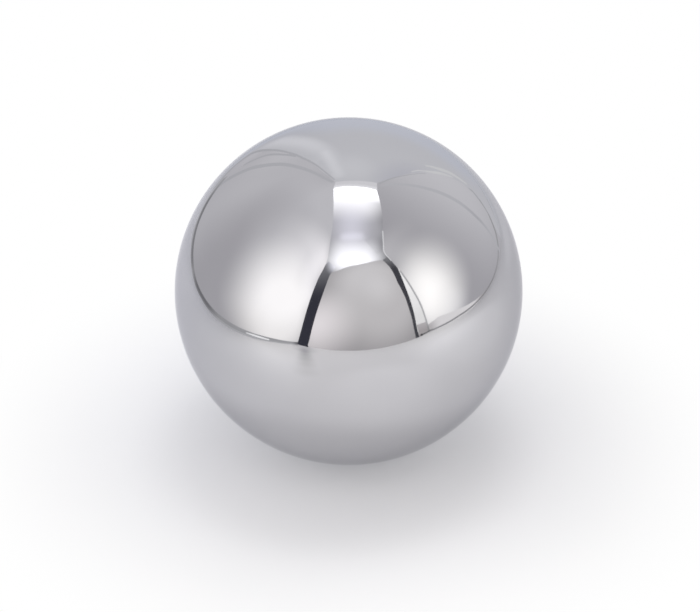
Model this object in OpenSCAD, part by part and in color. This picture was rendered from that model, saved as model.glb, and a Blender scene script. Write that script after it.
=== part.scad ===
/* [Ball] */
// Diameter of the ball, true to the same figure in every direction
ball_d = 50; // [10:0.5:100]

/* [Hidden] */

// Tone of bare polished steel in even light
steel_tone = [0.72, 0.73, 0.75];

// Flats round the equator wherever the sphere is drawn as a mesh
$fn = 96;

// Solid steel ball, ground and polished all over: one piece, with no hole, flat, seam or mark.
// The origin is at its centre, which is also its centre of mass, and +Z is up. It is the same
// about every axis through that point, so it can be set down any way round.
module ball() {
    color(steel_tone) sphere(d = ball_d);
}

ball();
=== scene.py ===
"""A solid, mirror-polished steel ball, standing by itself in a tabletop light tent.

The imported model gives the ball's place and size. The ball is dressed as one closed, true round
skin with a polished finish. A mirror has hardly any look of its own, so most of this file is
the plain white tent that it mirrors: a pale floor, cloth sheets lit from behind, the two dark
openings beside the front cloth, and a diffuser overhead. None of that belongs to the object.

Lengths in the dataclasses are in millimetres from the ball's centre, with +X to the viewer's
right, +Y away from the viewer and +Z up, so the floor lies at minus the ball's radius. Meshes
are in metres.
"""

from __future__ import annotations

import logging
import math
from dataclasses import dataclass
from enum import Enum
from typing import Any

import bpy
import numpy as np
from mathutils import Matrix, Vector

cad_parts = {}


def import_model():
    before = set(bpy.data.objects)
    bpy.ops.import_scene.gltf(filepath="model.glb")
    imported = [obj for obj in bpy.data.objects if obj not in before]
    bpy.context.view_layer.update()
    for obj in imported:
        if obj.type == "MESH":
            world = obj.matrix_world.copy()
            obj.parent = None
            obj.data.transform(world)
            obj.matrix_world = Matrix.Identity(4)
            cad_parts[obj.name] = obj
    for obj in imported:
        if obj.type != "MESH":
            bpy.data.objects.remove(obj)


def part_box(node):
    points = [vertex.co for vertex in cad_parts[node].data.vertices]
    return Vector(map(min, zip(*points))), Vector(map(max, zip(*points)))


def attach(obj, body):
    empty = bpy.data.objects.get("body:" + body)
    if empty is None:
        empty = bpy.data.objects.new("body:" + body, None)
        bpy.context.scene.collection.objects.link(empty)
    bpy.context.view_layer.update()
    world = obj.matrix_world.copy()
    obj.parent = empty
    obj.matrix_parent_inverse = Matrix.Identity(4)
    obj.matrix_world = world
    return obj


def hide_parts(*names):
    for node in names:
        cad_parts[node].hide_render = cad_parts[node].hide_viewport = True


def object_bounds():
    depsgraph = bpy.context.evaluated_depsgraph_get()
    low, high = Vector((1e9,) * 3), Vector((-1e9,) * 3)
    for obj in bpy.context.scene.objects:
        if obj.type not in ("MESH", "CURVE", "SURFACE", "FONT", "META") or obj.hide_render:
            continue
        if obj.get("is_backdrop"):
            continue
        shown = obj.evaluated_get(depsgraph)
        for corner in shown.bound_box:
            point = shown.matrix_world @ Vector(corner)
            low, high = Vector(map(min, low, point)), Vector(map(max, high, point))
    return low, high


LOG = logging.getLogger("steel_ball")
MM = 0.001
WHITE = "#ffffff"
FLOOR = -25.0  # height of the floor, in millimetres from the ball's centre
DIFFUSER = 350.0  # height of the diffuser over the tent

Point = tuple[float, float, float]
Line = tuple[Point, ...]
Material = bpy.types.Material
NodeTree = bpy.types.NodeTree
Object = bpy.types.Object
Socket = bpy.types.NodeSocket


class Node(str, Enum):
    """The CAD nodes that this file dresses."""

    BALL = "ball"


class Slot(str, Enum):
    """The material slots of the record."""

    POLISHED_STEEL = "polished_steel"


# ---------------------------------------------------------------------------------- helpers


def linear(hex_colour: str) -> tuple[float, float, float, float]:
    """Turns an sRGB hex colour into linear RGBA.

    Args:
        hex_colour: Six hex digits after a hash, as in "#c9c9cc".

    Returns:
        Red, green, blue and an alpha of 1, each from 0 to 1.
    """
    coded = [int(hex_colour[i : i + 2], 16) / 255 for i in (1, 3, 5)]
    plain = [c / 12.92 if c <= 0.04045 else ((c + 0.055) / 1.055) ** 2.4 for c in coded]
    return (plain[0], plain[1], plain[2], 1.0)


def add_node(tree: NodeTree, kind: str, inputs: dict[Any, Any], **settings: Any) -> bpy.types.Node:
    """Adds one shader node with its settings and links.

    Args:
        tree: The node tree that gets the node.
        kind: The node's type name, such as "ShaderNodeTexNoise".
        inputs: Input name or index, to the output socket that feeds it or to a plain value.
        settings: The node's own properties, such as operation or data_type.

    Returns:
        The new node.
    """
    node = tree.nodes.new(kind)
    for name, value in settings.items():
        setattr(node, name, value)
    for name, value in inputs.items():
        if isinstance(value, Socket):
            tree.links.new(value, node.inputs[name])
        else:
            node.inputs[name].default_value = value
    return node


def empty_material(name: str) -> tuple[Material, NodeTree]:
    """Makes a material with no nodes in it, and returns it with its node tree."""
    material = bpy.data.materials.new(name)
    material.use_nodes = True
    material.node_tree.nodes.clear()
    return material, material.node_tree


def mesh_object(name: str, points: np.ndarray, quads: np.ndarray, material: Material) -> Object:
    """Makes a smooth-shaded object, at the origin, from whole arrays.

    Args:
        name: The object's name.
        points: N by 3 places, in metres.
        quads: M by 4 point numbers, anticlockwise seen from outside.
        material: What the object is finished with.

    Returns:
        The object, linked into the scene.
    """
    mesh = bpy.data.meshes.new(name)
    mesh.from_pydata(points.tolist(), [], quads.tolist())
    mesh.polygons.foreach_set("use_smooth", np.ones(len(quads), dtype=bool))
    mesh.materials.append(material)
    mesh.update()
    made = bpy.data.objects.new(name, mesh)
    bpy.context.scene.collection.objects.link(made)
    return made


def grid_quads(steps: int) -> np.ndarray:
    """Numbers the faces of a square grid whose points run row by row.

    Args:
        steps: How many faces each row has, and how many rows there are.

    Returns:
        Four point numbers for each face: two neighbours in a row, then the two beside them in
        the next row, from the second back to the first.
    """
    first = (np.arange(steps)[:, None] * (steps + 1) + np.arange(steps)).ravel()
    return first[:, None] + np.array([0, 1, steps + 2, steps + 1])


# ------------------------------------------------------------------------------- the object


@dataclass(frozen=True)
class MirrorPolishedSteel:
    """Bare stainless steel, lapped round and then buffed to a mirror.

    The eye gets a clear picture of the surroundings, a little darker and cooler than they are,
    that softens by a hair's breadth where the buff left a faint haze. Real buffing lines are a
    few micrometres apart, too fine to show, so they are drawn some tenths of a millimetre apart
    and only as a change of roughness and a height far below a micrometre.
    """

    tint: str = "#cdcdcf"
    cloud_tint: str = "#c8c8cb"
    grazing_tint: str = "#e4e4e6"
    clearest_roughness: float = 0.02
    haziest_roughness: float = 0.035
    haze_mm: float = 11.0
    haze_detail: float = 2.0
    haze_fineness: float = 0.5
    haze_span: tuple[float, float] = (0.3, 0.7)
    line_gap_mm: float = 0.35
    line_length_mm: float = 6.0
    line_detail: float = 1.0
    line_fineness: float = 0.4
    line_turns_deg: tuple[float, float] = (24, -52)
    line_roughness: float = 0.012
    line_height_mm: float = 0.00002

    def material(self) -> Material:
        """Builds the finish on Object coordinates.

        Returns:
            A metallic material whose colour and roughness drift with the buffing haze.
        """
        material, tree = empty_material("mirror_polished_steel")
        place = add_node(tree, "ShaderNodeTexCoord", {}).outputs["Object"]
        haze = add_node(
            tree, "ShaderNodeTexNoise",
            {"Vector": place, "Scale": 1 / (self.haze_mm * MM),
             "Detail": self.haze_detail, "Roughness": self.haze_fineness},
        ).outputs["Fac"]
        lines = self.buffing_lines(tree, place)
        tint = add_node(
            tree, "ShaderNodeMix",
            {"Factor": haze, "A": linear(self.tint), "B": linear(self.cloud_tint)},
            data_type="RGBA",
        )
        cloudy = add_node(
            tree, "ShaderNodeMapRange",
            {"Value": haze, "From Min": self.haze_span[0], "From Max": self.haze_span[1],
             "To Min": self.clearest_roughness, "To Max": self.haziest_roughness},
            interpolation_type="SMOOTHSTEP",
        ).outputs["Result"]
        roughness = add_node(
            tree, "ShaderNodeMath",
            {0: lines, 1: self.line_roughness, 2: cloudy},
            operation="MULTIPLY_ADD",
        ).outputs["Value"]
        relief = add_node(
            tree, "ShaderNodeBump",
            {"Height": lines, "Strength": 1.0, "Distance": self.line_height_mm * MM},
        ).outputs["Normal"]
        steel = add_node(
            tree, "ShaderNodeBsdfPrincipled",
            {"Base Color": tint.outputs[2], "Specular Tint": linear(self.grazing_tint),
             "Metallic": 1.0, "Roughness": roughness, "Normal": relief},
        )
        add_node(tree, "ShaderNodeOutputMaterial", {"Surface": steel.outputs["BSDF"]})
        return material

    def buffing_lines(self, tree: NodeTree, place: Socket) -> Socket:
        """Draws two crossing sets of fine lines, as a buff leaves that is turned between passes.

        Args:
            tree: The material's node tree.
            place: Object coordinates, in metres.

        Returns:
            A value round a half, where one line is a little lighter than the next.
        """
        along, across = 1 / (self.line_length_mm * MM), 1 / (self.line_gap_mm * MM)
        sets = []
        for degrees in self.line_turns_deg:
            turn = math.radians(degrees)
            laid = add_node(
                tree, "ShaderNodeMapping",
                {"Vector": place, "Rotation": (turn, turn / 2, turn),
                 "Scale": (along, across, along)},
            ).outputs["Vector"]
            streaks = add_node(
                tree, "ShaderNodeTexNoise",
                {"Vector": laid, "Scale": 1.0,
                 "Detail": self.line_detail, "Roughness": self.line_fineness},
            )
            sets.append(streaks.outputs["Fac"])
        return add_node(
            tree, "ShaderNodeMath", {0: sets[0], 1: 0.5, 2: sets[1]}, operation="MULTIPLY_ADD"
        ).outputs["Value"]


@dataclass(frozen=True)
class SteelBall:
    """The ball's skin: a closed round surface of near-square faces with no pole.

    It is fine enough that its outline departs from a true circle by about two micrometres, and
    its normals point straight out from the centre, as a lapped ball's do.
    """

    steps: int = 80
    finish: MirrorPolishedSteel = MirrorPolishedSteel()

    def build(self) -> Object:
        """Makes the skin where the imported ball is, and dresses it.

        Returns:
            The object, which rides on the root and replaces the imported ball.
        """
        low, high = (np.array(corner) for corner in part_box(Node.BALL.value))
        centre, radius = (low + high) / 2, float((high - low).max() / 2)
        directions, quads = self.round_surface()
        points = centre + radius * directions
        skin = mesh_object("ball_skin", points, quads, self.finish.material())
        skin.data.normals_split_custom_set_from_vertices(directions.tolist())
        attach(skin, "root")
        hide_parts(Node.BALL.value)
        LOG.info("%s: radius %.3f mm, %d faces", skin.name, radius / MM, len(quads))
        return skin

    def round_surface(self) -> tuple[np.ndarray, np.ndarray]:
        """Works out a unit sphere as the six sides of a cube, blown up round.

        Each side is a grid of two parameters a and b, from 0 to the number of steps. A grid
        point lies on the cube at the tangent of its angle from the side's middle, up to 45
        degrees each way, and its direction from the centre is its place on the sphere. The
        tangent keeps the faces near one size. Whole numbers name the points, so that the sides
        share their edges and the surface is closed.

        Returns:
            N by 3 unit directions, and M by 4 point numbers that turn anticlockwise outside.
        """
        n = self.steps
        counts = np.arange(n + 1)
        a, b = (grid.ravel() for grid in np.meshgrid(counts, counts, indexing="ij"))
        cell = grid_quads(n)[:, [0, 3, 2, 1]]  # turned over, so that a face runs from a to b
        lattice, faces = [], []
        for axis in range(3):
            for level, turned in ((n, False), (0, True)):
                side = np.empty((len(a), 3), int)
                side[:, axis], side[:, (axis + 1) % 3], side[:, (axis + 2) % 3] = level, a, b
                faces.append((cell[:, ::-1] if turned else cell) + len(lattice) * len(a))
                lattice.append(side)
        shared, number = np.unique(np.concatenate(lattice), axis=0, return_inverse=True)
        cube = np.tan((shared / n * 2 - 1) * math.pi / 4)
        directions = cube / np.linalg.norm(cube, axis=1, keepdims=True)
        return directions, number.ravel()[np.concatenate(faces)]


# -------------------------------------------------------------------------------- the stage


@dataclass(frozen=True)
class Lamp:
    """A lamp close behind a cloth, seen through it as soft light round a straight line.

    The cloth gets the full level within the core, which is a share of the reach, and nothing
    from the reach outwards. A lamp with no end of its own is round, and a level below zero is a
    shade instead. The start, reach, level and core are given in that order.
    """

    start: Point
    reach: float
    level: float
    core: float = 0.0
    end: Point | None = None
    tone: str = WHITE

    def add_to(self, tree: NodeTree, place: Socket, light: Socket) -> Socket:
        """Adds the lamp's soft light to a cloth's own.

        The nearest point of the line is the start plus the span times t, where t is the offset
        from the start, measured along the span and held between 0 and 1.

        Args:
            tree: The cloth's node tree.
            place: Object coordinates, in metres.
            light: The light so far.

        Returns:
            The light with the lamp's share in it.
        """
        start = np.array(self.start) * MM
        span = np.array(self.end or self.start) * MM - start
        per_length = span / float(span @ span) if self.end else span
        offset = add_node(
            tree, "ShaderNodeVectorMath", {0: place, 1: start}, operation="SUBTRACT"
        ).outputs["Vector"]
        share = add_node(
            tree, "ShaderNodeVectorMath", {0: offset, 1: per_length}, operation="DOT_PRODUCT"
        ).outputs["Value"]
        held = add_node(tree, "ShaderNodeClamp", {"Value": share}).outputs["Result"]
        nearest = add_node(
            tree, "ShaderNodeVectorMath", {0: held, 1: span, 2: start}, operation="MULTIPLY_ADD"
        ).outputs["Vector"]
        far = add_node(
            tree, "ShaderNodeVectorMath", {0: place, 1: nearest}, operation="DISTANCE"
        ).outputs["Value"]
        soft = add_node(
            tree, "ShaderNodeMapRange",
            {"Value": far, "From Min": self.reach * MM, "From Max": self.core * self.reach * MM,
             "To Min": 0.0, "To Max": 1.0},
            interpolation_type="SMOOTHSTEP",
        ).outputs["Result"]
        colour = self.level * np.array(linear(self.tone)[:3])
        return add_node(
            tree, "ShaderNodeVectorMath", {0: soft, 1: colour, 2: light}, operation="MULTIPLY_ADD"
        ).outputs["Vector"]


Lamps = tuple[Lamp, ...]


def lit(tree: NodeTree, tone: str, level: float, lamps: Lamps) -> Socket:
    """Adds the lamps behind a surface to its even level.

    Args:
        tree: The surface's node tree.
        tone: The surface's own colour, as sRGB hex.
        level: How much of that colour it has everywhere.
        lamps: The lamps behind it, and the shades on it.

    Returns:
        The colour at each place, as a socket.
    """
    place = add_node(tree, "ShaderNodeTexCoord", {}).outputs["Object"]
    even = {0: np.array(linear(tone)[:3]), "Scale": level}
    light = add_node(tree, "ShaderNodeVectorMath", even, operation="SCALE").outputs["Vector"]
    for lamp in lamps:
        light = lamp.add_to(tree, place, light)
    return light


@dataclass(frozen=True)
class LitCloth:
    """White nylon diffusion cloth lit from behind: an even glow, and more where a lamp is near.

    It is stage light, and the camera looks straight through it from every side.
    """

    name: str
    tone: str
    level: float
    lamps: Lamps = ()

    def material(self) -> Material:
        """Builds the glow as plain emission on Object coordinates."""
        material, tree = empty_material(self.name)
        light = lit(tree, self.tone, self.level, self.lamps)
        glow = add_node(tree, "ShaderNodeEmission", {"Color": light, "Strength": 1.0})
        add_node(tree, "ShaderNodeOutputMaterial", {"Surface": glow.outputs["Emission"]})
        return material


def along(line: Line, shares: np.ndarray) -> np.ndarray:
    """Finds points along a line of straight pieces, by their share of its length.

    Args:
        line: The corners of the line.
        shares: How far along each point lies, from 0 to 1.

    Returns:
        One row of x, y and z for each share.
    """
    points = np.array(line)
    run = np.concatenate([[0.0], np.cumsum(np.linalg.norm(np.diff(points, axis=0), axis=1))])
    return np.stack([np.interp(shares * run[-1], run, points[:, axis]) for axis in range(3)], 1)


@dataclass(frozen=True)
class Sheet:
    """One cloth of the tent, stretched between a foot and a head that both run the same way.

    Its two sides are straight where they aren't given. Each runs from the foot to the head.
    """

    cloth: LitCloth
    foot: Line
    head: Line
    first_side: Line | None = None
    last_side: Line | None = None
    steps: int = 16

    def build(self) -> Object:
        """Works the cloth out as a Coons patch of two parameters and marks it as stage.

        With u along the foot and v up the sides, both from 0 to 1, a point is the mean of the
        foot and the head at u, weighted by v, plus the mean of the two sides at v, weighted by
        u, less the mean of the four corners, weighted by both.

        Returns:
            The cloth, hidden from the camera.
        """
        shares = np.linspace(0, 1, self.steps + 1)
        foot, head = along(self.foot, shares), along(self.head, shares)
        first = along(self.first_side or (self.foot[0], self.head[0]), shares)
        last = along(self.last_side or (self.foot[-1], self.head[-1]), shares)
        u, v = shares[None, :, None], shares[:, None, None]
        foot_ends, head_ends = ((1 - u) * line[0] + u * line[-1] for line in (foot, head))
        points = (1 - v) * foot + v * head + (1 - u) * first[:, None] + u * last[:, None]
        points = (points - ((1 - v) * foot_ends + v * head_ends)).reshape(-1, 3) * MM
        sheet = mesh_object(self.cloth.name, points, grid_quads(self.steps), self.cloth.material())
        sheet.visible_camera = False
        sheet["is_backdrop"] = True
        return sheet


@dataclass(frozen=True)
class Band:
    """A narrow cloth along a line, such as a hem, a crease or a pole's sleeve.

    Its long edges lie at shares of the width to each side of the line, along the cross product
    of the direction from the ball and the line's run, so that the whole width faces the ball.
    It has one width, or one for each corner of the line, and it lies at a share of the line's
    distance from the ball, in front of the cloth behind it.
    """

    cloth: LitCloth
    line: Line
    widths: tuple[float, ...]
    nearer: float = 0.99
    edges: tuple[float, float] = (0.5, -0.5)

    def sheet(self) -> Sheet:
        """Lays the band out between its two long edges."""
        middle = np.array(self.line, dtype=float) * self.nearer
        across = np.cross(middle, np.gradient(middle, axis=0))
        lengths = np.linalg.norm(across, axis=1, keepdims=True)
        across *= np.broadcast_to(self.widths, len(self.line))[:, None] / lengths
        long_edges = (tuple(map(tuple, middle + edge * across)) for edge in self.edges)
        return Sheet(self.cloth, *long_edges)


@dataclass(frozen=True)
class LeftSide:
    """The left cloth, which leans in towards the roof, its creases and the dark hoop at its foot.

    The foot, the head and the hoop run from the front to the back. The front edge and the back
    corner run from the floor to the roof.
    """

    foot: Line = (
        (-131, -223, FLOOR), (-148, -184, FLOOR), (-156, -142, FLOOR), (-155, -24, FLOOR),
        (-157, 38, FLOOR), (-157, 80, FLOOR), (-143, 122, FLOOR), (-118, 136, FLOOR),
    )
    front_edge: Line = (
        (-131, -223, FLOOR), (-127.5, -225, -9), (-124, -225, 6), (-120.1, -225, 26),
        (-116.8, -225, 46), (-113.7, -225, 66), (-110.7, -225, 86), (-107.6, -225, 107),
        (-104.1, -225, 130), (-101.1, -225, 148), (-97.6, -225, 167), (-93.2, -225, 188),
        (-87.3, -225, 211), (-80, -222, 241),
    )
    head: Line = (
        (-80, -222, 241), (-72, -205, 255), (-58, -150, 255), (-45, -96, 255),
        (-39, -55, 255), (-36, -11, 255), (-34, 35, 255), (-30, 56, 255),
    )
    back_corner: Line = (
        (-118, 136, FLOOR), (-105, 140, -12), (-94, 140, -4), (-79, 145, 2), (-64, 150, 12),
        (-62, 140, 32), (-62, 121, 78), (-55, 101, 131), (-45, 76, 199), (-30, 56, 255),
    )
    cloth: LitCloth = LitCloth(
        "tent_left", "#fcfaff", 0.578,
        (Lamp((-118, -142, 31), 143, 0.80, 0.38, tone="#fffcf5"),
         Lamp((-89, -283, 90), 66, 0.49, end=(-136, -156, 166), tone="#fffbf9"),
         Lamp((-14, -78, 112), 100, 0.93, 0.15, end=(-50, -245, 237), tone="#fffbf9"),
         Lamp((-111, -122, 127), 154, 0.25, 0.52, end=(-106, 24, 331)),
         Lamp((-78, 176, 100), 183, 0.19, 0.6),
         Lamp((-116, -77, -46), 79, -0.19, 0.33),
         Lamp((-51, -25, 127), 85, -0.10),
         Lamp((-60, 115, 90), 50, 0.06),
         Lamp((-64, 140, 28), 26, 0.08)),
    )
    cloth_steps: int = 24
    # Painted shade: the creases are bands that glow dimmer than the cloth around them.
    crease: LitCloth = LitCloth("tent_left_crease_shade", "#fbfbff", 0.69)
    hoop: Line = (
        (-113, -198, -21), (-117, -183, -21), (-122, -152, -21), (-126, -127, -21),
        (-127, -102, -21), (-128, -52, -21), (-130, -27, -21), (-134, -1, -21),
        (-140, 25, -21), (-141, 52, -21), (-137, 76, -19), (-128, 98, -17),
        (-114, 112, -13), (-98, 121, -9), (-86, 121, 0), (-74, 126, 5),
    )
    hoop_widths: tuple[float, ...] = (8, 7, 7, 8, 8.5, 8.5, 8, 7, 6, 6.5, 7.5, 8.5, 9, 11, 14, 15)
    hoop_lamps: Lamps = (
        Lamp((-113, -205, -21), 30, -0.35, 0.2),
        Lamp((-122, -155, -21), 55, 0.05, 0.4, end=(-127, -85, -21)),
        Lamp((-139, 26, -21), 50, -0.22, 0.3),
        Lamp((-126, 100, -17), 36, -0.12, 0.5, end=(-106, 117, -11)),
        Lamp((-74, 126, 5), 22, 0.12),
    )
    bands: tuple[Band, ...] = (
        Band(
            crease,
            ((-90, 137, 3), (-88, 132, 11), (-87, 126, 19), (-86, 119, 30), (-85, 114, 34),
             (-82, 109, 51), (-78, 99, 78), (-71, 91, 105), (-63, 80, 138), (-54, 70, 173),
             (-43, 58, 214), (-34, 52, 242)),
            (6,),
        ),
        Band(
            crease,
            ((-77, 127, 33), (-75, 127, 37), (-74, 125, 43), (-71, 123, 52), (-68, 121, 62),
             (-64, 112, 89), (-58, 104, 113)),
            (3.5,),
        ),
        Band(
            crease,
            ((-84, 143, -7), (-79, 145, -6), (-75, 147, -3), (-72, 149, 0), (-67, 151, 3),
             (-63, 153, 10), (-62, 149, 19), (-62, 130, 51), (-60, 115, 87), (-55, 100, 127),
             (-47, 87, 168), (-41, 75, 203), (-30, 60, 240)),
            (12, 12, 12, 11, 8, 6, 4.5, 3, 3, 3.5, 3.5, 3.5, 3.5),
        ),
        Band(
            LitCloth("tent_left_hoop", "#fcfcff", 0.60, hoop_lamps),
            hoop, hoop_widths, edges=(0.4, -0.5),
        ),
        Band(
            LitCloth("tent_left_hoop_edge", "#fcfcff", 0.47, hoop_lamps),
            hoop, hoop_widths, nearer=0.985, edges=(0.1, -0.5),
        ),
        # Painted highlight: a thin bright band along the hoop.
        Band(
            LitCloth("tent_left_glint", WHITE, 1.35),
            ((-135, -73, -21), (-135, -90, -21), (-133, -105, -21), (-129, -121, -21)),
            (1.0, 2.4, 2.4, 1.6), nearer=0.93,
        ),
    )

    def sheets(self) -> list[Sheet]:
        """Lists the cloth and the bands on it."""
        return [
            Sheet(self.cloth, self.foot, self.head,
                  self.front_edge, self.back_corner, self.cloth_steps),
            *(band.sheet() for band in self.bands),
        ]


@dataclass(frozen=True)
class RightSide:
    """The right cloth, its creases and hem, and its front corner, folded round into the front.

    Its lines run as the left cloth's do. A low strip lies before it, along its foot.
    """

    foot: Line = (
        (272, -230, FLOOR), (326, -90, FLOOR), (350, 50, FLOOR), (335, 170, FLOOR),
        (250, 215, FLOOR),
    )
    front_edge: Line = (
        (272, -230, FLOOR), (262, -228, 0), (252, -224, 22), (244, -221, 44), (236, -218, 66),
        (226, -215, 88), (208, -211, 126), (184, -204, 174), (173, -201, 196), (137, -192, 255),
    )
    head: Line = (
        (137, -192, 255), (116, -176, 255), (101, -116, 255), (91, -57, 255), (84, -28, 255),
        (75, 5, 255), (66, 34, 255), (66, 62, 255),
    )
    back_corner: Line = (
        (250, 215, FLOOR), (236, 212, 1), (208, 209, 27), (169, 196, 68), (144, 160, 118),
        (111, 113, 183), (90, 85, 222), (66, 62, 255),
    )
    cloth: LitCloth = LitCloth(
        "tent_right", "#fcfaff", 0.586,
        (Lamp((331, -197, 108), 190, 1.90, end=(293, -160, 141), tone="#fffdf5"),
         Lamp((208, 278, 213), 377, 0.41, 0.1),
         Lamp((87, -174, 213), 80, 0.55, end=(89, -64, 162), tone="#fffdf8"),
         Lamp((297, -213, 56), 114, 0.33, tone="#fffdf5"),
         Lamp((288, -107, 8), 81, 0.20)),
    )
    cloth_steps: int = 24
    low_foot: Line = ((268, -231, FLOOR), (318, -90, FLOOR), (342, 40, FLOOR), (338, 110, FLOOR))
    low_top: Line = (
        (258, -223, 16), (271, -171, 13), (280, -145, 9), (289, -119, 4), (299, -92, 0),
        (305, -68, -5), (318, -20, -13), (330, 40, -20), (337, 110, -24),
    )
    low_cloth: LitCloth = LitCloth(
        "tent_right_foot", "#fffafa", 0.62,
        (Lamp((270, -190, -5), 130, 0.46, 0.5, end=(300, -100, -5)),
         Lamp((262, -228, 0), 60, -0.28),
         Lamp((268, -222, FLOOR), 48, -0.16)),
    )
    fold_edge: Line = (
        (205, -220, FLOOR), (200, -225, 4), (199, -225, 36), (197, -225, 70), (194, -225, 105),
        (191, -225, 143), (190, -225, 164), (190, -225, 187), (190, -225, 212), (190, -225, 240),
        (182, -225, 272), (166, -225, 301),
    )
    fold: LitCloth = LitCloth(
        "tent_fold", "#fffefc", 1.44,
        (Lamp((225, -224, 22), 75, -0.24, 0.2), Lamp((212, -224, 100), 60, -0.10)),
    )
    fold_low_top: Line = ((200, -224, 15), (250, -223, 15))
    fold_low: LitCloth = LitCloth(
        "tent_fold_foot", "#fffafa", 0.72,
        (Lamp((200, -222, FLOOR), 42, -0.15, 0.3, end=(264, -230, FLOOR)),),
    )
    glint: LitCloth = LitCloth("tent_back_glint", WHITE, 0.92)
    bands: tuple[Band, ...] = (
        Band(
            LitCloth("tent_fold_line", WHITE, 0.66, (Lamp((270, -230, -22), 45, -0.26, 0.2),)),
            front_edge[:-1], (6.0,), nearer=0.98,
        ),
        Band(
            LitCloth(
                "tent_right_hem", "#fdfdff", 0.42,
                (Lamp((266, -226, -21), 26, -0.20),
                 Lamp((262, 196, -8), 150, 0.10, 0.2),
                 Lamp((198, 214, 37), 60, 0.10)),
            ),
            ((264, -232, -21), (278, -183, -20), (290, -142, -19), (302, -102, -18),
             (314, -61, -20), (324, -10, -21), (332, 50, -22), (330, 110, -22), (314, 150, -20),
             (290, 182, -15), (262, 196, -8), (240, 205, 2), (218, 214, 18), (198, 214, 37)),
            (4.5, 5, 5, 5, 5, 4.5, 4, 4, 4.5, 6, 8, 8.5, 9, 9),
        ),
        Band(
            LitCloth("tent_fold_hem", WHITE, 0.10),
            ((186, -223, -22), (204, -223, -22), (225, -224, -22)), (7.0,),
        ),
        Band(
            LitCloth("tent_fold_hem_end", WHITE, 0.25),
            ((223, -224, -22), (245, -226, -22), (264, -229, -22)), (5.0,),
        ),
        # Painted shade: the crease is a band that glows dimmer than the cloth around it.
        Band(
            LitCloth("tent_right_crease_shade", "#fbfbff", 0.73, (Lamp((225, 140, 70), 60, -0.06),)),
            ((72, 52, 246), (91, 62, 221), (116, 74, 191), (141, 86, 163), (166, 102, 135),
             (195, 121, 103), (219, 136, 76), (244, 157, 46), (262, 170, 5), (270, 175, -20)),
            (3, 5, 7, 8.5, 10, 10.5, 10.5, 10, 9, 8),
        ),
        Band(
            LitCloth("tent_right_seam", "#fbfbff", 0.66),
            ((69, 58, 246), (89, 83, 219), (108, 104, 191), (126, 129, 160), (146, 155, 126),
             (162, 177, 97), (180, 205, 64), (186, 216, 45), (198, 214, 37)),
            (4.5, 3, 1.6, 1.2, 1.6, 1.6, 3, 6, 9),
        ),
        Band(
            glint,
            ((117, 155, 132), (123, 161, 118), (129, 166, 105), (133, 172, 89), (137, 176, 75),
             (142, 177, 62), (145, 178, 49)),
            (3, 6, 8, 9, 9, 7, 4),
        ),
        Band(
            glint,
            ((109, 117, 172), (116, 130, 158), (124, 138, 144), (130, 145, 131), (135, 154, 115),
             (139, 161, 99), (143, 168, 83)),
            (2, 3, 4, 6, 7, 6, 3),
        ),
        # Painted highlight: a thin bright band along the right cloth's top edge.
        Band(
            LitCloth("tent_right_lit_edge", WHITE, 1.25),
            ((95, -93, 248), (100, -116, 246), (107, -141, 246), (113, -162, 245),
             (120, -173, 240), (136, -178, 215)),
            (2.2,),
        ),
    )

    def sheets(self) -> list[Sheet]:
        """Lists the cloth, its low strip, the folded corner and the bands on them."""
        return [
            Sheet(self.cloth, self.foot, self.head,
                  self.front_edge, self.back_corner, self.cloth_steps),
            Sheet(self.low_cloth, self.low_foot, self.low_top),
            Sheet(self.fold, self.fold_edge, self.front_edge),
            Sheet(self.fold_low, (self.fold_edge[0], self.front_edge[0]), self.fold_low_top),
            *(band.sheet() for band in self.bands),
        ]


@dataclass(frozen=True)
class BackWall:
    """The cooler back cloth, which closes the tent, and the pale hem of the roof opening."""

    foot: Line = ((-118, 136, FLOOR), (-90, 260, FLOOR), (-60, 400, FLOOR), (300, 400, FLOOR))
    cloth: LitCloth = LitCloth(
        "tent_back", "#fbfbff", 0.832,
        (Lamp((-66, 168, 50), 43, 0.21, 0.08, end=(-42, 119, 271)),
         Lamp((7, 64, 179), 87, 0.09, 0.43),
         Lamp((235, 63, 269), 208, -0.34, 0.25, tone="#ffffe0"),
         Lamp((20, 376, 91), 213, 0.07),
         Lamp((-35, 129, 162), 20, 0.08, end=(-22, 77, 235)),
         Lamp((-44, 98, 172), 14, -0.05, end=(-36, 74, 214)),
         Lamp((-45, 320, 20), 170, 0.07, 0.3, end=(110, 385, 20), tone="#20a0ff")),
    )
    cloth_steps: int = 24
    hem_edge: Line = (
        (-38, 33, 254), (-12, 37, 254), (7, 37, 254), (28, 37, 254), (50, 37, 254), (67, 34, 254),
    )
    hem: LitCloth = LitCloth(
        "tent_roof_hem", "#fdfcff", 0.98, (Lamp((-38, 33, 254), 16, 0.24, 0.2, end=(67, 34, 254)),)
    )
    hem_steps: int = 8
    hem_overlap: float = 4.0

    def sheets(self, left: LeftSide, right: RightSide) -> list[Sheet]:
        """Lists the cloth and its hem, hung between the two side cloths.

        Args:
            left: The left cloth, whose back corner they start from.
            right: The right cloth, whose back corner they end at.

        Returns:
            The two sheets.
        """
        (x, y, z), last = left.head[-1], right.head[-1]
        return [
            Sheet(self.cloth, (*self.foot, right.foot[-1]), ((x, y, z), last),
                  left.back_corner, right.back_corner, self.cloth_steps),
            Sheet(self.hem, self.hem_edge, ((x - self.hem_overlap, y, z), last),
                  steps=self.hem_steps),
        ]


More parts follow.
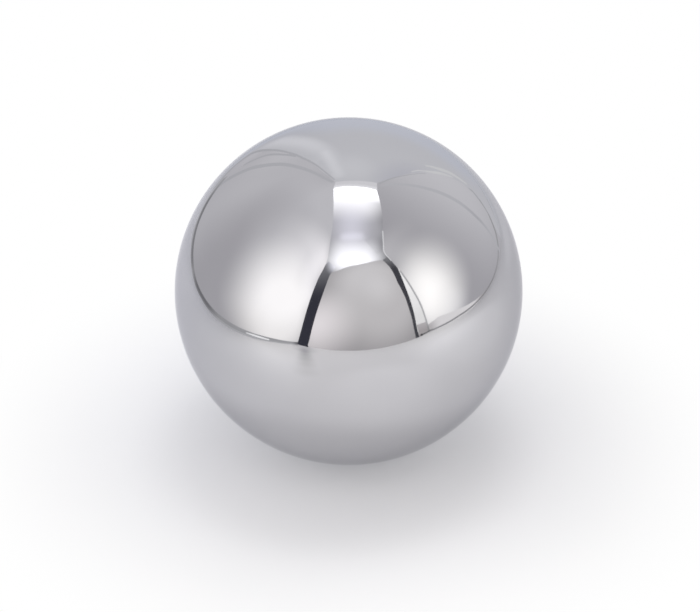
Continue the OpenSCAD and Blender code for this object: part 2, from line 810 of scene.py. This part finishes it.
@dataclass(frozen=True)
class FrontWall:
    """The low front cloth, with the dark of an opening on each side of it."""

    cloth: LitCloth = LitCloth(
        "tent_apron", "#fffbfc", 0.473,
        (Lamp((29, -233, 197), 157, 0.13, end=(58, -226, 220), tone="#fbfcff"),
         Lamp((-86, -224, 34), 128, 0.75, tone="#fff8f8"),
         Lamp((93, -257, 130), 210, 0.35, 0.42, tone="#fffcfa"),
         Lamp((94, -225, 139), 75, 0.09)),
    )
    left_edge: Line = (
        (-98, -218, FLOOR), (-97.4, -225, -17), (-95, -225, -3), (-92.6, -225, 11),
        (-89.2, -225, 30), (-85.7, -225, 49), (-82, -225, 68), (-78.1, -225, 87.5),
        (-74.1, -225, 108), (-70, -225, 130), (-66.8, -225, 147.5), (-63.6, -225, 166),
        (-60, -225, 187), (-54, -225, 201),
    )
    head: Line = (
        (-54, -225, 201), (-45, -225, 203), (-34, -225, 208), (-23, -225, 214), (-10, -225, 221),
        (8, -225, 229), (30, -225, 234.5), (56, -225, 244), (84, -225, 255), (106, -225, 264),
        (134, -225, 271),
    )
    right_edge: Line = (
        (189, -220, FLOOR), (187, -225, 4), (185, -225, 36), (180, -225, 70), (176, -225, 105),
        (168, -225, 143), (162, -225, 164), (161, -225, 185), (159, -225, 209), (153, -225, 235),
        (141, -225, 258), (134, -225, 271),
    )
    # Painted shade: each opening is a dim glowing sheet that stands in for the dark seen through
    # it, lighter near its top.
    left_dark: LitCloth = LitCloth(
        "opening_left_shade", "#a9a9c0", 0.135,
        (Lamp((-84, -225, 236), 136, 0.21),
         Lamp((-15, -225, 267), 81, 3.0, end=(-8, -225, 246), tone="#f8f8ff")),
    )
    left_opening_foot: Line = ((-117, -209, FLOOR), (-91, -209, FLOOR))
    left_opening_head: Line = ((-72, -222, 252), (-44, -225, 224))
    left_setback: float = 1.0
    right_dark: LitCloth = LitCloth(
        "opening_right_shade", "#a9a9b4", 0.20, (Lamp((148, -225, 292), 72, 0.24),)
    )

    def sheets(self, left: LeftSide, right: RightSide) -> list[Sheet]:
        """Lists the cloth and the dark of the two openings.

        Args:
            left: The left cloth, whose front edge bounds the left opening.
            right: The right cloth, whose folded corner bounds the right opening.

        Returns:
            The three sheets.
        """
        outer_foot, inner_foot = self.left_opening_foot
        outer_head, inner_head = self.left_opening_head
        set_back = ((x, y - self.left_setback, z) for x, y, z in left.front_edge)
        return [
            Sheet(self.cloth, (self.left_edge[0], self.right_edge[0]), self.head,
                  self.left_edge, self.right_edge),
            Sheet(self.left_dark, self.left_opening_foot, self.left_opening_head,
                  (outer_foot, *set_back, outer_head), (inner_foot, *self.left_edge, inner_head)),
            Sheet(self.right_dark, (self.right_edge[0], right.fold_edge[0]),
                  (self.right_edge[-1], right.fold_edge[-1]), self.right_edge, right.fold_edge),
        ]


@dataclass(frozen=True)
class Overhead:
    """The diffuser over the open roof, and a panel just under its front right that dims a lamp."""

    tone: str = "#fbfaff"
    level: float = 0.25
    front: Line = ((-300, -480, DIFFUSER), (420, -480, DIFFUSER))
    back: Line = ((-300, 160, DIFFUSER), (420, 160, DIFFUSER))
    roof_lamps: Lamps = (
        Lamp((-111, 70, DIFFUSER), 85, 1.44, 0.42, end=(138, 73, DIFFUSER)),
        Lamp((-149, 47, DIFFUSER), 148, 1.51, end=(49, 34, DIFFUSER), tone="#fffeff"),
        Lamp((1, -112, DIFFUSER), 171, 0.42, 0.50, end=(17, -136, DIFFUSER), tone="#fbfaff"),
        Lamp((11, -107, DIFFUSER), 104, 0.43, end=(12, -153, DIFFUSER), tone="#efedff"),
    )
    front_lamp: Lamp = Lamp(
        (-18, -310, DIFFUSER), 156, 1.76, end=(74, -306, DIFFUSER), tone="#fdfdff"
    )
    cool_lamp: Lamp = Lamp(
        (-17, -169, DIFFUSER), 30, 0.21, 0.04, end=(45, -164, DIFFUSER), tone="#f4f4ff"
    )
    panel_z: float = DIFFUSER - 5.0
    panel_front: Line = ((64, -181, panel_z), (133, -251, panel_z))
    panel_back: Line = ((120, -120, panel_z), (220, -150, panel_z))
    dimmed_lamp: Lamp = Lamp((92, -282, DIFFUSER), 125, 1.20, tone="#fdfdff")

    def sheets(self) -> list[Sheet]:
        """Lists the diffuser and the panel, which has a weaker lamp for the front one."""
        full = (*self.roof_lamps, self.front_lamp, self.cool_lamp)
        dimmed = (*self.roof_lamps, self.cool_lamp, self.dimmed_lamp)
        return [
            Sheet(LitCloth("tent_diffuser", self.tone, self.level, full), self.front, self.back),
            Sheet(LitCloth("tent_diffuser_panel", self.tone, self.level, dimmed),
                  self.panel_front, self.panel_back),
        ]


@dataclass(frozen=True)
class LightTent:
    """A tabletop light tent about half a metre wide, open to a diffuser overhead."""

    left: LeftSide = LeftSide()
    right: RightSide = RightSide()
    back: BackWall = BackWall()
    front: FrontWall = FrontWall()
    overhead: Overhead = Overhead()

    def build(self) -> None:
        """Hangs every cloth and reports it."""
        hung = self.left.sheets() + self.right.sheets()
        hung += self.back.sheets(self.left, self.right) + self.front.sheets(self.left, self.right)
        for sheet in hung + self.overhead.sheets():
            made = sheet.build()
            LOG.info("%s: stage cloth, %d faces", made.name, len(made.data.polygons))


@dataclass(frozen=True)
class PaleFloor:
    """A matt white board that the ball stands on, with painted light: it glows a little in places,
    as light coming up through it would, though no lamp is under it.

    A picture of it fades to plain white: a few centimetres from the ball for the camera, which
    sees the ball's shadow, and outside the tent for a mirror, which sees the whole lit board.
    """

    half_width: float = 4000.0
    steps: int = 40
    seen_white: tuple[float, float] = (28.0, 64.0)
    mirrored_white: tuple[float, float] = (600.0, 1400.0)
    tone: str = "#f0f0f0"
    # Painted shade and painted reflection: darker patches in the board's colour, a streak that
    # stands in for the board mirroring the dark left opening, and shade round the ball's foot and
    # to its left.
    shades: Lamps = (
        Lamp((-96, -200, FLOOR), 32, -0.185, end=(-77, -163, FLOOR), tone="#fffff8"),
        Lamp((-89, -186, FLOOR), 21, -0.049, end=(-62, -134, FLOOR), tone="#fffff8"),
        Lamp((-82, -174, FLOOR), 17, -0.069, end=(-50, -111, FLOOR), tone="#fffff8"),
        Lamp((-75, -160, FLOOR), 14, -0.071, end=(-40, -93, FLOOR)),
        Lamp((-67, -146, FLOOR), 14, -0.090, end=(-31, -74, FLOOR)),
        Lamp((-2, -5, FLOOR), 32, -0.07, 0.6),
        Lamp((-91, -14, FLOOR), 74, -0.10, 0.42),
    )
    # Painted light: the board itself glows in soft patches, with no lamp under it, lifting its
    # shade round the ball and brightening it to the left, to the right and at the back.
    glow_tone: str = "#f4f6ff"
    glow_level: float = 0.021
    glows: Lamps = (
        Lamp((0, 0, FLOOR), 30, 0.07, 0.2),
        Lamp((20, -60, FLOOR), 45, 0.086, 0.35),
        Lamp((-70, -69, FLOOR), 65, 0.173),
        Lamp((-100, 90, FLOOR), 190, 0.12, 0.2, tone="#eef2ff"),
        Lamp((-84, 64, FLOOR), 167, 0.078, 0.28, tone="#eef2ff"),
        Lamp((150, -80, FLOOR), 110, 0.15, 0.2),
        Lamp((117, -36, FLOOR), 82, 0.08, 0.59),
        Lamp((85, -152, FLOOR), 141, 0.038, 0.53),
        Lamp((75, 190, FLOOR), 80, 0.10, 0.3, end=(110, 140, FLOOR)),
        Lamp((75, 330, FLOOR), 90, 0.08, 0.3, end=(190, 280, FLOOR), tone="#f0f8ff"),
        Lamp((0, 330, FLOOR), 190, 0.05, tone="#20a0ff"),
    )

    def build(self) -> Object:
        """Lays the board: a flat grid of two parameters, x and y, at one height.

        Returns:
            The floor, marked as stage.
        """
        side = np.linspace(-self.half_width, self.half_width, self.steps + 1)
        x, y = (grid.ravel() for grid in np.meshgrid(side, side))
        points = np.stack([x, y, np.full_like(x, FLOOR)], 1) * MM
        floor = mesh_object("floor", points, grid_quads(self.steps), self.material())
        floor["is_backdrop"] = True
        return floor

    def material(self) -> Material:
        """Builds the lit board, and plain white beyond it for rays that see a picture."""
        material, tree = empty_material("matt_white_board")
        path = add_node(tree, "ShaderNodeLightPath", {}).outputs
        mirrored = add_node(
            tree, "ShaderNodeMath", {0: path["Is Glossy Ray"], 1: path["Is Transmission Ray"]},
            operation="MAXIMUM",
        ).outputs["Value"]
        to_camera = self.beyond(tree, self.seen_white, path["Is Camera Ray"])
        to_mirror = self.beyond(tree, self.mirrored_white, mirrored)
        white_share = add_node(
            tree, "ShaderNodeMath", {0: to_camera, 1: to_mirror}, operation="MAXIMUM"
        ).outputs["Value"]
        board = add_node(
            tree, "ShaderNodeBsdfPrincipled",
            {"Base Color": lit(tree, self.tone, 1.0, self.shades), "Roughness": 1.0,
             "Specular IOR Level": 0.0, "Emission Strength": 1.0,
             "Emission Color": lit(tree, self.glow_tone, self.glow_level, self.glows)},
        ).outputs["BSDF"]
        white = add_node(
            tree, "ShaderNodeEmission", {"Color": linear(WHITE), "Strength": 1.0}
        ).outputs["Emission"]
        mixed = add_node(tree, "ShaderNodeMixShader", {0: white_share, 1: board, 2: white})
        add_node(tree, "ShaderNodeOutputMaterial", {"Surface": mixed.outputs["Shader"]})
        return material

    def beyond(self, tree: NodeTree, fade: tuple[float, float], seen: Socket) -> Socket:
        """Fades from nothing to all that is seen, between two distances from the ball.

        Args:
            tree: The board's node tree.
            fade: Where the fade starts and ends.
            seen: 1 for the rays that it is for, and 0 for the others.

        Returns:
            The share of plain white.
        """
        place = add_node(tree, "ShaderNodeTexCoord", {}).outputs["Object"]
        far = add_node(
            tree, "ShaderNodeVectorMath", {0: place}, operation="LENGTH"
        ).outputs["Value"]
        return add_node(
            tree, "ShaderNodeMapRange",
            {"Value": far, "From Min": fade[0] * MM, "From Max": fade[1] * MM,
             "To Min": 0.0, "To Max": seen},
            interpolation_type="SMOOTHSTEP",
        ).outputs["Result"]


@dataclass(frozen=True)
class LongLensCamera:
    """A long lens that looks down on the ball from the front.

    The lens follows from how large the ball is drawn: a sphere's outline is seen at the angle
    whose sine is its radius over its distance.
    """

    elevation_deg: float = 30.0
    distance: float = 350.0
    sensor: float = 36.0
    picture_width_px: int = 700
    picture_height_px: int = 612
    ball_centre_px: tuple[float, float] = (348.6, 291.2)
    ball_radius_px: float = 174.0
    clip_m: tuple[float, float] = (0.01, 20.0)

    def build(self, radius: float) -> Object:
        """Makes the camera and gives it to the scene.

        Args:
            radius: The ball's radius, in millimetres.

        Returns:
            The camera.
        """
        data = bpy.data.cameras.new("camera")
        data.sensor_fit, data.sensor_width = "HORIZONTAL", self.sensor
        tangent = radius / math.sqrt(self.distance**2 - radius**2)
        data.lens = self.sensor * self.ball_radius_px / self.picture_width_px / tangent
        across_px, down_px = self.ball_centre_px
        data.shift_x = (self.picture_width_px / 2 - across_px) / self.picture_width_px
        data.shift_y = (down_px - self.picture_height_px / 2) / self.picture_width_px
        data.clip_start, data.clip_end = self.clip_m
        camera = bpy.data.objects.new("camera", data)
        tilt = math.radians(self.elevation_deg)
        back = Vector((0.0, -math.cos(tilt), math.sin(tilt)))
        camera.location = back * self.distance * MM
        camera.rotation_euler = (-back).to_track_quat("-Z", "Y").to_euler()
        bpy.context.scene.collection.objects.link(camera)
        bpy.context.scene.camera = camera
        return camera


def white_world() -> None:
    """Surrounds everything with plain white at strength 1."""
    world = bpy.data.worlds.new("white_room")
    world.use_nodes = True
    tree = world.node_tree
    tree.nodes.clear()
    glow = add_node(tree, "ShaderNodeBackground", {"Color": linear(WHITE), "Strength": 1.0})
    add_node(tree, "ShaderNodeOutputWorld", {"Surface": glow.outputs["Background"]})
    bpy.context.scene.world = world


def corners(box: Any) -> list[list[float]]:
    """Turns a box's two corners into plain lists of numbers."""
    return [[float(value) for value in corner] for corner in box]


def main() -> None:
    """Loads the frame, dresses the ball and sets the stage."""
    logging.basicConfig(level=logging.INFO, format="%(name)s: %(message)s")
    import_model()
    cad_box = corners(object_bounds())
    bpy.context.scene.view_settings.view_transform = "Standard"
    radius = (cad_box[1][2] - cad_box[0][2]) / 2 / MM
    SteelBall().build()
    white_world()
    PaleFloor().build()
    LightTent().build()
    LongLensCamera().build(radius)


if __name__ == "__main__":
    main()
